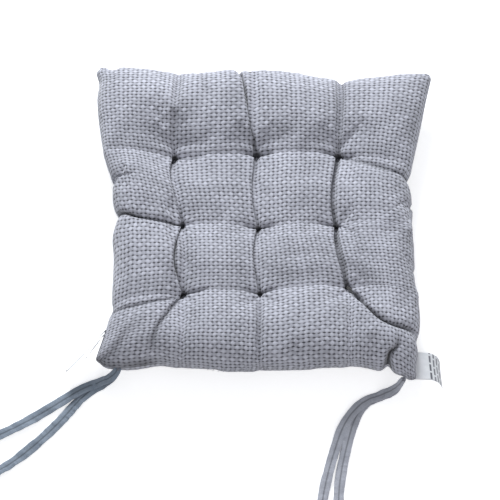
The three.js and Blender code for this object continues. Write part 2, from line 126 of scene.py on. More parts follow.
# ---- Ties ----------------------------------------------------------------------
# Four tapes, each a strip of thin slate or grey cloth with its raw edges turned in,
# pressed to a fold and sewn into the rear seam. They are limp and lie crumpled on the floor.
TAPE_WIDTH = 0.012
TAPE_HALF = 0.00075            # half of the pressed tape's thickness
TAPE_RINGS = 260
TAPE_SIDES = 28
TAPE_LEAN = 0.26               # greatest roll to either side, in radians
TAPE_PUCKER = 0.0006
CLEAR_OF_FLOOR = 0.0002
THREAD_PITCH = 0.0011
TIE_ROUTES = {
    "tie_left_front": [
        (-0.1640, -0.1735, 0.0245), (-0.1646, -0.1790, 0.0245), (-0.1660, -0.1830, 0.0242),
        (-0.1690, -0.1866, 0.0222), (-0.1730, -0.1884, 0.0182), (-0.1780, -0.1885, 0.0120),
        (-0.1835, -0.1882, 0.0068), (-0.1890, -0.1893, 0.0033), (-0.1958, -0.1917, 0.0028),
        (-0.2048, -0.1958, 0.0028), (-0.2160, -0.2028, 0.0028), (-0.2290, -0.2118, 0.0028),
        (-0.2448, -0.2225, 0.0028), (-0.2627, -0.2342, 0.0028), (-0.2827, -0.2458, 0.0028),
        (-0.3037, -0.2563, 0.0028), (-0.3247, -0.2658, 0.0028), (-0.3455, -0.2733, 0.0028),
        (-0.3585, -0.2766, 0.0028)],
    "tie_left_rear": [
        (-0.1640, -0.1735, 0.0227), (-0.1646, -0.1790, 0.0227), (-0.1658, -0.1826, 0.0222),
        (-0.1684, -0.1853, 0.0190), (-0.1718, -0.1868, 0.0128), (-0.1762, -0.1873, 0.0068),
        (-0.1812, -0.1885, 0.0028), (-0.1866, -0.1912, 0.0011), (-0.1942, -0.1958, 0.0011),
        (-0.2032, -0.2038, 0.0011), (-0.2143, -0.2163, 0.0011), (-0.2272, -0.2326, 0.0011),
        (-0.2430, -0.2502, 0.0011), (-0.2608, -0.2680, 0.0011), (-0.2797, -0.2845, 0.0011),
        (-0.3006, -0.2990, 0.0011), (-0.3215, -0.3103, 0.0011), (-0.3365, -0.3165, 0.0011)],
    "tie_right_inner": [
        (0.1553, -0.1938, 0.0285), (0.1553, -0.1966, 0.0286), (0.1535, -0.1988, 0.0283),
        (0.1510, -0.2018, 0.0260), (0.1464, -0.2038, 0.0212), (0.1404, -0.2046, 0.0139),
        (0.1337, -0.2046, 0.0078), (0.1270, -0.2058, 0.0033), (0.1176, -0.2088, 0.0028),
        (0.1076, -0.2158, 0.0028), (0.0985, -0.2258, 0.0028), (0.0903, -0.2388, 0.0028),
        (0.0840, -0.2540, 0.0028), (0.0784, -0.2722, 0.0028), (0.0729, -0.2924, 0.0028),
        (0.0679, -0.3136, 0.0028), (0.0640, -0.3358, 0.0028), (0.0622, -0.3590, 0.0028),
        (0.0622, -0.3808, 0.0028)],
    "tie_right_outer": [
        (0.1553, -0.1938, 0.0267), (0.1553, -0.1966, 0.0268), (0.1534, -0.1984, 0.0262),
        (0.1510, -0.2006, 0.0222), (0.1472, -0.2023, 0.0147), (0.1418, -0.2031, 0.0077),
        (0.1352, -0.2032, 0.0030), (0.1288, -0.2050, 0.0011), (0.1198, -0.2092, 0.0011),
        (0.1106, -0.2172, 0.0011), (0.1034, -0.2284, 0.0011), (0.0981, -0.2420, 0.0011),
        (0.0940, -0.2576, 0.0011), (0.0899, -0.2760, 0.0011), (0.0859, -0.2964, 0.0011),
        (0.0830, -0.3188, 0.0011), (0.0821, -0.3420, 0.0011), (0.0832, -0.3650, 0.0011),
        (0.0853, -0.3840, 0.0011)],
}


def spline(points, t):
    """Catmull-Rom curve through rows of points, read at t from 0 to 1 in equal spans.
    The rows may be points, or whole rows of a grid; end spans lean on their end row twice."""
    points = np.asarray(points, float)
    spans = len(points) - 1
    x = np.clip(np.asarray(t, float) * spans, 0, spans - 1e-9)
    k = np.floor(x).astype(int)
    w = (x - k).reshape(-1, *([1] * (points.ndim - 1)))
    before, after = points[np.maximum(k - 1, 0)], points[np.minimum(k + 2, spans)]
    a, b = points[k], points[k + 1]
    from_slope, to_slope = (b - before) / 2, (after - a) / 2
    return ((2 * a - 2 * b + from_slope + to_slope) * w ** 3
            + (3 * b - 3 * a - 2 * from_slope - to_slope) * w ** 2 + from_slope * w + a)


def run_along(line):
    """The length run along a line of points, from 0 at its first."""
    return np.concatenate([[0], np.cumsum(np.linalg.norm(np.diff(line, axis=0), axis=1))])


def places_on(line, at):
    """Points of a line at the given lengths along it."""
    run = run_along(line)
    return np.stack([np.interp(at, run, line[:, k]) for k in range(3)], 1)


def even_line(points, count):
    """The spline through the points, read at count places an even length apart."""
    fine = spline(points, np.linspace(0, 1, 40 * len(points)))
    length = run_along(fine)[-1]
    return places_on(fine, np.linspace(0, length, count)), length


def unit(vectors):
    """Each row of vectors at length one."""
    return vectors / (np.linalg.norm(vectors, axis=-1, keepdims=True) + 1e-12)


def grid_faces(rows, columns, first=0, wrap=False):
    """Four-sided faces of a grid of points, row after row; wrap joins its last column
    to its first."""
    index = first + np.arange(rows * columns).reshape(rows, columns)
    if wrap:
        index = np.concatenate([index, index[:, :1]], 1)
    a, b, c, d = index[:-1, :-1], index[:-1, 1:], index[1:, 1:], index[1:, :-1]
    return np.stack([a, b, c, d], -1).reshape(-1, 4)


def new_piece(name, points, faces, uv=None):
    """A smooth mesh object from lists of points and faces, with a UV pair for each point."""
    mesh = bpy.data.meshes.new(name)
    sizes = np.array([len(f) for f in faces])
    starts = np.concatenate([[0], np.cumsum(sizes)[:-1]])
    corners = np.concatenate([np.asarray(f) for f in faces])
    mesh.vertices.add(len(points))
    mesh.vertices.foreach_set("co", np.asarray(points, np.float32).ravel())
    mesh.loops.add(len(corners))
    mesh.loops.foreach_set("vertex_index", corners.astype(np.int32))
    mesh.polygons.add(len(sizes))
    mesh.polygons.foreach_set("loop_start", starts.astype(np.int32))
    if uv is not None:
        layer = mesh.uv_layers.new(name="cloth")
        layer.data.foreach_set("uv", np.asarray(uv, np.float32)[corners].ravel())
    mesh.update(calc_edges=True)
    mesh.validate()
    mesh.shade_smooth()
    piece = bpy.data.objects.new(name, mesh)
    bpy.context.scene.collection.objects.link(piece)
    return piece


def ripple(x, seed, waves=5, slowest=1.0):
    """A smooth uneven wave from -1 to 1 along x: a few sines, each faster and weaker."""
    draw = np.random.default_rng(seed)
    total = sum(np.sin(2 * np.pi * (slowest * 1.7 ** k * x + draw.random())) / 1.5 ** k
                for k in range(waves))
    return total / 2.2


def fine_cloth(name, colour, dark):
    """Thin plain cloth: fine threads both ways as bump, faint worn and dirty cloudings, and painted
    shade along the groove of the fold in the tape's middle."""
    material, tree, shader = new_finish(name)
    uv = node_output(tree, "UVMap", "UV", uv_map="cloth")
    threads = node_output(tree, "TexBrick", "Color", {
        "Vector": uv, "Scale": 1 / THREAD_PITCH, "Color1": (1, 1, 1, 1),
        "Color2": (0.72, 0.72, 0.72, 1), "Mortar": (0.25, 0.25, 0.25, 1), "Mortar Size": 0.12,
        "Mortar Smooth": 0.8, "Brick Width": 1.6, "Row Height": 0.8}, offset=0.5)
    place = node_output(tree, "TexCoord", "Object")
    cloud = node_output(tree, "TexNoise", "Fac", {"Vector": place, "Scale": 55, "Detail": 5})
    blend = node_output(tree, "Mix", "Result", {
        "Factor": cloud, "A": (*dark, 1), "B": (*colour, 1)}, data_type="RGBA")
    weave = node_output(tree, "Mix", "Result", {"Factor": 0.45, "A": blend, "B": threads},
                        data_type="RGBA", blend_type="MULTIPLY")
    # Painted shade: the colour falls to half along the groove of the tape's middle fold.
    across = node_output(tree, "SeparateXYZ", "X", {"Vector": uv})
    off_fold = node_output(tree, "Math", "Value", {0: across}, operation="ABSOLUTE")
    tape_fold_shade = node_output(tree, "MapRange", "Result", {
        "Value": off_fold, "From Min": 0.0003, "From Max": 0.0013, "To Min": 0.5})
    folded = node_output(tree, "VectorMath", "Vector", {0: weave, "Scale": tape_fold_shade},
                         operation="SCALE")
    bump = node_output(tree, "Bump", "Normal", {
        "Height": threads, "Strength": 0.5, "Distance": 0.0003})
    feed(tree, shader, {"Base Color": folded, "Normal": bump, "Roughness": 0.85,
                        "Sheen Weight": 0.25, "Sheen Roughness": 0.5})
    return material


def tape_points(line, seed):
    """Rings of a pressed tape along its line. A ring is a flat rounded section, 12 mm wide,
    with a shallow groove along its middle; it leans, narrows and puckers at random."""
    along = unit(np.gradient(line, axis=0))
    across = unit(np.cross(along, [0, 0, 1]))
    s = np.linspace(0, 1, len(line))
    held = np.clip(s * 9, 0, 1)
    lean = TAPE_LEAN * held * ripple(s, seed, 5, 2.5)
    lift = unit(np.cross(across, along))
    side = across * np.cos(lean)[:, None] + lift * np.sin(lean)[:, None]
    face = np.cross(side, along)
    half = TAPE_WIDTH / 2 * (0.42 + 0.58 * held ** 0.7) * (1 + 0.07 * ripple(s, seed + 1, 4, 4))
    angle = np.linspace(0, 2 * np.pi, TAPE_SIDES, endpoint=False)
    x = np.sign(np.cos(angle)) * np.abs(np.cos(angle)) ** 0.7
    y = np.sign(np.sin(angle)) * np.abs(np.sin(angle)) ** 0.6
    fold = np.exp(-(x / 0.16) ** 2)
    hem = np.exp(-((np.abs(x) - 0.78) / 0.1) ** 2)
    thick = TAPE_HALF * (1 - 0.5 * fold - 0.18 * hem)
    pucker = TAPE_PUCKER * ripple(s * 2.2, seed + 2, 5, 6)[:, None] * np.cos(2.2 * x + seed)[None]
    rise = (y * thick)[None] + pucker * held[:, None]
    points = (line[:, None] + side[:, None] * (half[:, None] * x[None])[..., None]
              + face[:, None] * rise[..., None])
    return points, x


def tie(name, seed):
    """A closed tube of tape rings, with its two ends drawn together and shut."""
    line, length = even_line(TIE_ROUTES[name], TAPE_RINGS)
    s = np.linspace(0, 1, TAPE_RINGS)
    line[:, 2] += np.clip(s * 6 - 1, 0, 1) * CLEAR_OF_FLOOR * (1 + ripple(s, seed + 5, 4, 3))
    points, x = tape_points(line, seed)
    low = points[..., 2].min(axis=1)
    points[..., 2] += np.maximum(0, CLEAR_OF_FLOOR - low)[:, None]
    middles = points.mean(axis=1, keepdims=True)
    shut = middles + (points - middles) * 0.3
    rings = np.concatenate([shut[:1], points, shut[-1:]])
    count = len(rings)
    faces = grid_faces(count, TAPE_SIDES, wrap=True)
    first = list(range(TAPE_SIDES))
    last = [k + (count - 1) * TAPE_SIDES for k in reversed(range(TAPE_SIDES))]
    at = np.linspace(0, length, count)
    uv = np.dstack(np.broadcast_arrays(x[None] * TAPE_WIDTH / 2, at[:, None]))
    piece = new_piece(name + "_tape", rings.reshape(-1, 3),
                      [*faces.tolist(), first, last], uv.reshape(-1, 2))
    piece.data.materials.append(tape_cloths[name.split("_")[1]])
    return piece, line, length


tape_cloths = {"left": fine_cloth("slate_tape", (0.42, 0.49, 0.58), (0.15, 0.195, 0.25)),
               "right": fine_cloth("grey_tape", (0.66, 0.68, 0.75), (0.36, 0.375, 0.43))}
for seed, (name, route) in enumerate(TIE_ROUTES.items()):
    piece, line, length = tie(name, 11 * seed + 3)
    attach(piece, name)
    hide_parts(name)

# ---- The pad's cloth form ------------------------------------------------------
# Two square panels, 400 mm each way, are sewn edge to edge, filled and drawn together by
# nine stitches. The cloth is let out from that cut by simulation: the filling pushes, the
# stitches hold, and the spare cloth gathers in folds round them and along the seam.
PANEL = 0.400                  # cut size, seam to seam
PUFFS = 4                      # puffs each way, with the stitches between them
SPANS = 64                     # cloth cells each way in the simulation
SEAM_LEVEL = 0.032
PUFF_RISE = 0.034
STITCH_HALF = 0.005            # half of the pad's thickness at a stitch
SEAT_ROUNDING = 0.004          # of the turn from the flat underside up to the seam
REAR_LEFT_DROP = 0.012
REAR_RIGHT_DROP = 0.006
# Where corners, edge middles and stitches lie in plan, rear row first
NET = np.array([
    [(-0.193, -0.177), (-0.093, -0.178), (-0.006, -0.182), (0.096, -0.178), (0.175, -0.195)],
    [(-0.173, -0.108), (-0.091, -0.096), (-0.005, -0.095), (0.094, -0.088), (0.171, -0.096)],
    [(-0.170, 0.004), (-0.092, -0.008), (-0.007, -0.012), (0.081, -0.010), (0.166, -0.014)],
    [(-0.184, 0.090), (-0.103, 0.079), (-0.009, 0.082), (0.084, 0.081), (0.168, 0.068)],
    [(-0.195, 0.204), (-0.100, 0.190), (-0.012, 0.191), (0.086, 0.182), (0.195, 0.196)],
])


def surface(net, u, v):
    """A smooth sheet over a grid of control points: splines along its rows at u, then
    splines through those at v. Gives rows for v and columns for u."""
    rows = np.stack([spline(row, u) for row in net])
    return spline(rows, v)


def seam_level(u, v):
    """The seam is level, and sinks towards the two rear corners by a fourth power."""
    return (SEAM_LEVEL - REAR_LEFT_DROP * ((1 - u) * (1 - v)) ** 4
            - REAR_RIGHT_DROP * (u * (1 - v)) ** 4)


def first_rise(t):
    """Height shares of a lightly filled pad along one way: round at the two seams, with
    a valley at each line of stitches. Gives the seam's share and the valley's."""
    puff = np.minimum(PUFFS - 1, np.floor(t * PUFFS))
    c = t * PUFFS - puff
    crown = np.maximum(0, 1 - (1 - 2 * c) ** 2) ** 0.6
    by_seam = ((puff == 0) & (c < 0.5)) | ((puff == PUFFS - 1) & (c > 0.5))
    return np.where(by_seam, crown, 1), np.where(by_seam, 0, 1 - crown)


def sewn_panels(count):
    """Two square grids of points that share their rims: the point numbers of each, which
    points lie inside the rim, and the faces of both, all turned outwards."""
    top = np.arange(count * count).reshape(count, count)
    inner = np.zeros(top.shape, bool)
    inner[1:-1, 1:-1] = True
    bottom = top.copy()
    bottom[inner] = top.size + np.arange(inner.sum())
    cells = grid_faces(count, count)
    return top, bottom, inner, np.concatenate([cells, bottom.ravel()[cells[:, ::-1]]])


def filled_cloth():
    """Simulates the two joined panels and gives them as two grids of points."""
    t = np.linspace(0, 1, SPANS + 1)
    u, v = np.meshgrid(t, t)
    edge, valley = first_rise(t)
    both = 1 - (1 - valley[None]) * (1 - valley[:, None])
    stitch = valley[None] * valley[:, None]
    rise = 0.75 * PUFF_RISE * edge[None] * edge[:, None] * (1 - 0.36 * both)
    rise = rise * (1 - stitch) + STITCH_HALF * stitch
    plan, level = surface(NET, t, t), seam_level(u, v)
    top, bottom, inner, faces = sewn_panels(SPANS + 1)
    upper, lower = np.dstack([plan, level + rise]), np.dstack([plan, level - rise])
    points = np.concatenate([upper.reshape(-1, 3), lower[inner]])
    cut = np.dstack([(u - 0.5) * PANEL, (v - 0.5) * PANEL, np.full_like(u, SEAM_LEVEL)])
    cut = np.concatenate([cut.reshape(-1, 3), cut[inner]])
    cloth = new_piece("cloth", points, faces)
    cloth.shape_key_add(name="filled")
    flat = cloth.shape_key_add(name="cut")
    flat.data.foreach_set("co", cut.ravel().astype(np.float32))
    held = cloth.vertex_groups.new(name="stitched")
    lines = [SPANS // PUFFS * k + d for k in range(1, PUFFS) for d in (-1, 0, 1)]
    near_stitches = [int(side[j, i]) for side in (top, bottom) for j in lines for i in lines]
    held.add(near_stitches, 1, "REPLACE")
    cloth_physics(cloth, flat)
    shaped = cloth.evaluated_get(bpy.context.evaluated_depsgraph_get()).data
    found = np.empty(len(points) * 3)
    shaped.vertices.foreach_get("co", found)
    found = found.reshape(-1, 3)
    bpy.data.objects.remove(cloth)
    bpy.context.scene.frame_set(1)
    return found[top], found[bottom]


def cloth_physics(cloth, flat):
    """Heavy cotton: hard to stretch and easy to bend, pressed out by the filling."""
    modifier = cloth.modifiers.new("filling", "CLOTH")
    frames = 30
    modifier.point_cache.frame_end = frames
    settings = modifier.settings
    settings.quality = 6
    settings.mass = 0.01
    settings.tension_stiffness = settings.compression_stiffness = 15
    settings.shear_stiffness = 8
    settings.bending_stiffness = 0.8
    settings.tension_damping = settings.compression_damping = settings.shear_damping = 5
    settings.air_damping = 3
    settings.use_pressure = True
    settings.uniform_pressure_force = 60
    settings.vertex_group_mass = "stitched"
    settings.rest_shape_key = flat
    settings.effector_weights.gravity = 0
    for frame_number in range(1, frames + 1):
        bpy.context.scene.frame_set(frame_number)


def seated(points):
    """Moves the simulated cloth so that its corners, edges and stitches lie on the net,
    and presses it flat where it rests on the seat."""
    at = np.linspace(0, 1, PUFFS + 1)
    t = np.linspace(0, 1, len(points))
    knots = (at * SPANS).round().astype(int)
    shift = NET - points[knots][:, knots, :2]
    placed = points.copy()
    placed[..., :2] += surface(shift, t, t)
    low = placed[..., 2] / SEAT_ROUNDING
    placed[..., 2] = SEAT_ROUNDING * np.log1p(np.exp(np.clip(low, -30, 30)))
    return placed


def resample(form, u, v):
    """The form's grid read at the shares u of each row and v of each column, by splines."""
    rows = spline(form, v)
    return spline(rows.swapaxes(0, 1), u).swapaxes(0, 1)


def normals_of(grid, side):
    """Outward unit normals of a grid of points; side is 1 for the top, -1 for the bottom."""
    return side * unit(np.cross(np.gradient(grid, axis=1), np.gradient(grid, axis=0)))


def highest(values, reach):
    """The largest of a grid's values within a square reach of cells round each."""
    for axis in (0, 1):
        padded = np.pad(values, [(reach, reach) if k == axis else (0, 0) for k in (0, 1)], "edge")
        count = values.shape[axis]
        values = np.max([np.take(padded, np.arange(count) + k, axis) for k in range(2 * reach + 1)],
                        axis=0)
    return values


# Folds of the top panel: depth and half width in metres, and a line over the panel from
# its left rear corner (0, 0) to its right front corner (1, 1). A negative depth fills.
TOP_FOLDS = [
    (0.0070, 0.0036, [(0.447, 1.0), (0.458, 0.95), (0.477, 0.86), (0.498, 0.76)]),
    (0.0026, 0.0050, [(0.752, 1.0), (0.758, 0.92), (0.756, 0.84), (0.75, 0.76)]),
    (0.0016, 0.0060, [(0.262, 0.96), (0.255, 0.88), (0.25, 0.77)]),
    (0.0070, 0.0040, [(0.0, 0.515), (0.06, 0.505), (0.13, 0.492), (0.2, 0.494), (0.25, 0.5)]),
    (0.0060, 0.0036, [(0.25, 0.75), (0.234, 0.69), (0.231, 0.6), (0.25, 0.5)]),
    (0.0065, 0.0036, [(0.25, 0.5), (0.226, 0.43), (0.218, 0.35), (0.25, 0.25)]),
    (0.0040, 0.0030, [(0.5, 0.75), (0.489, 0.66), (0.488, 0.58), (0.5, 0.5)]),
    (0.0042, 0.0030, [(0.5, 0.5), (0.486, 0.42), (0.486, 0.34), (0.5, 0.25)]),
    (0.0060, 0.0034, [(0.75, 0.75), (0.742, 0.66), (0.741, 0.58), (0.75, 0.5)]),
    (0.0070, 0.0038, [(0.75, 0.5), (0.744, 0.42), (0.742, 0.34), (0.75, 0.25)]),
    (0.0095, 0.0046, [(0.745, 0.27), (0.78, 0.205), (0.825, 0.157), (0.87, 0.138), (0.92, 0.137),
                      (0.975, 0.142)]),
    (0.0030, 0.0060, [(0.75, 0.75), (0.82, 0.725), (0.9, 0.71), (1.0, 0.71)]),
    (0.0050, 0.0030, [(0.92, 0.71), (0.96, 0.707), (1.0, 0.71)]),
    (0.0032, 0.0045, [(0.25, 0.25), (0.18, 0.225), (0.09, 0.215), (0.0, 0.22)]),
    (0.0042, 0.0052, [(0.25, 0.25), (0.212, 0.19), (0.18, 0.13), (0.17, 0.06)]),
    (0.0018, 0.0034, [(0.5, 0.25), (0.497, 0.14), (0.5, 0.02)]),
    (0.0100, 0.0044, [(0.860, -0.03), (0.864, 0.02), (0.874, 0.05), (0.9, 0.085)]),
    (0.0018, 0.0090, [(0.04, 0.02), (0.075, 0.07), (0.1, 0.14)]),
    (0.0016, 0.0036, [(0.31, 0.99), (0.33, 0.93), (0.35, 0.89)]),
    (0.0022, 0.0030, [(0.0, 0.66), (0.05, 0.64), (0.1, 0.645)]),
    (0.0022, 0.0036, [(0.25, 0.75), (0.29, 0.74), (0.335, 0.743)]),
    (0.0024, 0.0034, [(0.46, 0.5), (0.5, 0.5), (0.545, 0.503)]),
    (0.0024, 0.0034, [(0.7, 0.505), (0.75, 0.5), (0.775, 0.497)]),
    (0.0024, 0.0034, [(0.7, 0.755), (0.75, 0.75), (0.8, 0.745)]),
    (0.0024, 0.0034, [(0.46, 0.755), (0.5, 0.75), (0.545, 0.75)]),
    (0.0022, 0.0034, [(0.25, 0.25), (0.29, 0.25), (0.33, 0.255)]),
    (0.0022, 0.0034, [(0.46, 0.253), (0.5, 0.25), (0.54, 0.255)]),
    (-0.0024, 0.0150, [(0.81, 0.5), (0.87, 0.497), (0.99, 0.5)]),
    (-0.0034, 0.0140, [(0.83, 0.25), (0.9, 0.25), (0.99, 0.25)]),
    (-0.0030, 0.0100, [(0.8, 0.09), (0.83, 0.12)]),
]
BOTTOM_FOLDS = [
    (0.0030, 0.0045, [(k / 4 + 0.01, 0.75), (k / 4 - 0.01, 0.5), (k / 4, 0.25)])
    for k in (1, 2, 3)]
# Painted shade at hollows and rims where the panel curls under: centre, reach each way, strength
CURL_SHADES = [
    (0.06, 0.0, 0.10, 0.016, 0.75), (0.0, 0.03, 0.014, 0.05, 0.8), (0.15, 0.0, 0.035, 0.018, 0.9),
    (0.862, 0.01, 0.014, 0.045, 1.0), (0.97, 0.0, 0.03, 0.008, 0.9), (1.0, 0.2, 0.01, 0.1, 0.3),
    (0.0, 0.51, 0.05, 0.012, 0.6), (1.0, 0.71, 0.035, 0.012, 0.6), (0.4, 0.0, 0.5, 0.012, 0.12),
]
PIT_DEPTH = 0.0022             # of the hollow at a stitch, more than the filling leaves
PIT_REACH = 0.0105
FORM_CELLS = 256
RIM_HOLD = 0.006               # width of the rim that the folds leave in place
CLOTH_LUMP = 0.0008            # height of the filling's lumps under the cloth
CORNER_ROUNDING = {(0, 0): 0.024, (1, 0): 0.011, (0, 1): 0.016, (1, 1): 0.014}
# Bulges and notches of the seam in plan: edge, place along it, half width, push outwards
SEAM_PUSHES = [
    ("left", 0.505, 0.022, -0.005), ("left", 0.86, 0.09, 0.002), ("left", 0.24, 0.02, -0.002),
    ("left", 0.44, 0.03, 0.002), ("left", 0.57, 0.03, 0.001), ("left", 0.93, 0.025, -0.003),
    ("right", 0.71, 0.022, -0.004), ("right", 0.84, 0.06, 0.001), ("right", 0.62, 0.05, 0.002),
    ("right", 0.125, 0.02, -0.003), ("right", 0.2, 0.06, 0.003), ("right", 0.04, 0.05, -0.005),
    ("front", 0.447, 0.012, -0.002), ("front", 0.757, 0.018, -0.004), ("front", 0.07, 0.022, -0.006),
    ("front", 0.6, 0.09, 0.002), ("front", 0.2, 0.1, 0.002),
    ("rear", 0.867, 0.016, -0.009), ("rear", 0.19, 0.03, -0.002), ("rear", 0.4, 0.12, 0.002),
    ("rear", 0.1, 0.04, 0.003), ("rear", 0.7, 0.06, 0.002), ("rear", 0.955, 0.03, 0.003),
]


def fold_share(u, v, line, width):
    """How much of a fold each point of the panel takes, from 1 on its line: a wide share for the
    valley, a narrow one for the painted shade at its bottom, and the way back to the line in metres.
    All fade towards the line's two ends."""
    path = spline(np.array(line), np.linspace(0, 1, 30)) * PANEL
    nearest, where = np.full(u.shape, 1e9), np.zeros(u.shape)
    back = np.zeros((*u.shape, 2))
    for k in range(len(path) - 1):
        a, ab = path[k], path[k + 1] - path[k]
        x, y = u * PANEL - a[0], v * PANEL - a[1]
        along = np.clip((x * ab[0] + y * ab[1]) / (ab @ ab), 0, 1)
        x, y = along * ab[0] - x, along * ab[1] - y
        gap = np.hypot(x, y)
        closer = gap < nearest
        nearest[closer], where[closer] = gap[closer], (k + along[closer]) / (len(path) - 1)
        back[closer] = np.stack([x[closer], y[closer]], 1)
    fade = 0.35 + 0.65 * np.sin(np.pi * np.clip(where, 0.02, 0.98)) ** 0.5
    wide = fade / (1 + (nearest / width) ** 2) ** 1.5 * np.exp(-(nearest / (4 * width)) ** 2)
    narrow = fade * np.exp(-(nearest / (0.85 * width)) ** 2)
    pull = (fade * np.exp(-(nearest / (2.4 * width)) ** 2))[..., None] * back
    return wide, narrow, pull


def seam_shift(u, v):
    """Plan shift of the cloth by the seam's bulges and notches and its rounded corners."""
    shift = np.zeros((*u.shape, 2))
    edges = {"left": (v, u, 0, -1), "right": (v, 1 - u, 0, 1),
             "rear": (u, v, 1, -1), "front": (u, 1 - v, 1, 1)}
    for edge, place, width, push in SEAM_PUSHES:
        along, depth, axis, sign = edges[edge]
        share = np.exp(-((along - place) / width) ** 2 - (depth / 0.06) ** 2)
        shift[..., axis] += sign * push * share
    for (right, front), radius in CORNER_ROUNDING.items():
        a = radius - PANEL * (1 - u if right else u)
        b = radius - PANEL * (1 - v if front else v)
        inside = (a > 0) & (b > 0)
        a, b = np.where(inside, a, 0), np.where(inside, b, 0)
        shrink = 1 - np.maximum(a, b) / (np.hypot(a, b) + 1e-9)
        shrink = np.where(inside, shrink, 0)
        shift[..., 0] += (-1 if right else 1) * a * shrink
        shift[..., 1] += (-1 if front else 1) * b * shrink
    return shift


def softened(form):
    """Rounds the valleys that run from side to side: heights are averaged along the other
    way, by a share that is nothing at the stitches' columns and at the seam."""
    reach = np.arange(-8, 9)
    bell = np.exp(-(reach / 3.2) ** 2)
    heights = form[..., 2]
    padded = np.concatenate([2 * heights[:1] - heights[8:0:-1], heights,
                             2 * heights[-1:] - heights[-2:-10:-1]])
    mean = sum(w * padded[k:k + len(heights)] for k, w in enumerate(bell / bell.sum()))
    t = np.linspace(0, 1, len(form))
    u, v = np.meshgrid(t, t)
    column = sum(np.exp(-((u - k / PUFFS) / 0.05) ** 2) for k in range(1, PUFFS))
    rim = np.exp(-(np.minimum(v, 1 - v) / 0.1) ** 2)
    share = 0.8 * (1 - np.clip(column, 0, 1)) * (1 - rim)
    smooth = form.copy()
    smooth[..., 2] += share * (mean - heights)
    return smooth


def shaped(form, side):
    """The seated cloth on a finer grid with its folds, pits, lumps and seam pushes. Each fold and
    pit also draws the cloth beside it in, so that its walls stand close. Gives the grid, and a 0 to
    1 share of painted shade for each point: along the bottoms of folds, in the pits and where the
    panel curls under."""
    t = np.linspace(0, 1, FORM_CELLS + 1)
    fine = resample(softened(form), t, t)
    u, v = np.meshgrid(t, t)
    outward = normals_of(fine, side)
    depth, shadow, draw_in = np.zeros(u.shape), np.zeros(u.shape), np.zeros((*u.shape, 2))
    for deep, width, line in TOP_FOLDS if side > 0 else BOTTOM_FOLDS:
        wide, narrow, pull = fold_share(u, v, line, width)
        depth += deep * wide
        if deep > 0:
            # Painted shade along the fold's bottom, darker for a deeper fold.
            shadow = np.maximum(shadow, narrow * min(1, deep / 0.006))
            draw_in += pull * min(0.5, 90 * deep)
    for row in range(1, PUFFS):
        for column in range(1, PUFFS):
            x, y = (column / PUFFS - u) * PANEL, (row / PUFFS - v) * PANEL
            off = np.hypot(x, y) / PIT_REACH
            near = np.exp(-off ** 2)[..., None]
            depth += PIT_DEPTH * np.exp(-(off / 0.6) ** 2) * (0.75 + 0.25 * side)
            draw_in = draw_in * (1 - near) + 0.62 * near * np.stack([x, y], -1)
            # Painted shade in the pit round the stitch.
            shadow = np.maximum(shadow, np.exp(-(off / 0.5) ** 4))
    # Painted shade where the panel curls under.
    for at_u, at_v, reach_u, reach_v, strength in CURL_SHADES if side > 0 else []:
        spot = strength * np.exp(-((u - at_u) / reach_u) ** 2 - ((v - at_v) / reach_v) ** 2)
        shadow = 1 - (1 - shadow) * (1 - spot)
    lumps = np.sin(31 * u + 2.3 * np.sin(19 * v)) * np.sin(27 * v + 1.9 * np.sin(23 * u + 1))
    depth -= CLOTH_LUMP * lumps
    border = np.minimum(np.minimum(u, 1 - u), np.minimum(v, 1 - v)) * PANEL
    inside = np.clip(border / RIM_HOLD, 0, 1)[..., None]
    fine -= outward * depth[..., None] * inside
    fine[..., :2] += seam_shift(u, v) + draw_in * inside
    fine[..., 2] = np.maximum(fine[..., 2], 0.0009)
    return fine, shadow


upper_cloth, lower_cloth = (seated(side) for side in filled_cloth())
(upper_form, upper_shadow), (lower_form, lower_shadow) = (
    shaped(upper_cloth, 1), shaped(lower_cloth, -1))

# ---- Covers --------------------------------------------------------------------
# Both panels are one coarse plain weave of thick soft grey yarn, 78 warps by 96 wefts.
# Each yarn stands proud where it goes over, and gaps open at the crossings' corners, painted near
# black as shade.
WARPS = [0, 20, 38, 57, 78]    # yarns from the left edge to each column of stitches
WEFTS = [0, 24, 45, 66, 96]    # yarns from the rear edge to each row of stitches
TOP_SAMPLES = 7                # mesh cells to a yarn on the top panel
BOTTOM_SAMPLES = 5
CLOTH_THICKNESS = 0.0012
YARN_RELIEF = 0.0007
TURNED_IN = 0.0022             # of the cloth's edge at the seam
# Heights of the yarns: of a round back, and of its wave over and under the other yarns
WEFT_BACK, WEFT_WAVE = 0.76, 0.17
WARP_BACK, WARP_WAVE = 0.62, 0.20
# Gaps between yarns, in yarns: an oblong hole at each crossing's corner, and a thin slit
# between two warps with a share of the hole's depth
HOLE_HALF_WIDTH, HOLE_HALF_HEIGHT = 0.30, 0.155
SLIT_HALF_WIDTH, SLIT_DEPTH = 0.13, 0.32
YARN_SWAY = 0.12               # spread of a random draw for each yarn, in yarns
SWAY_SHARE = 0.6               # share of that draw by which the yarn strays from its place


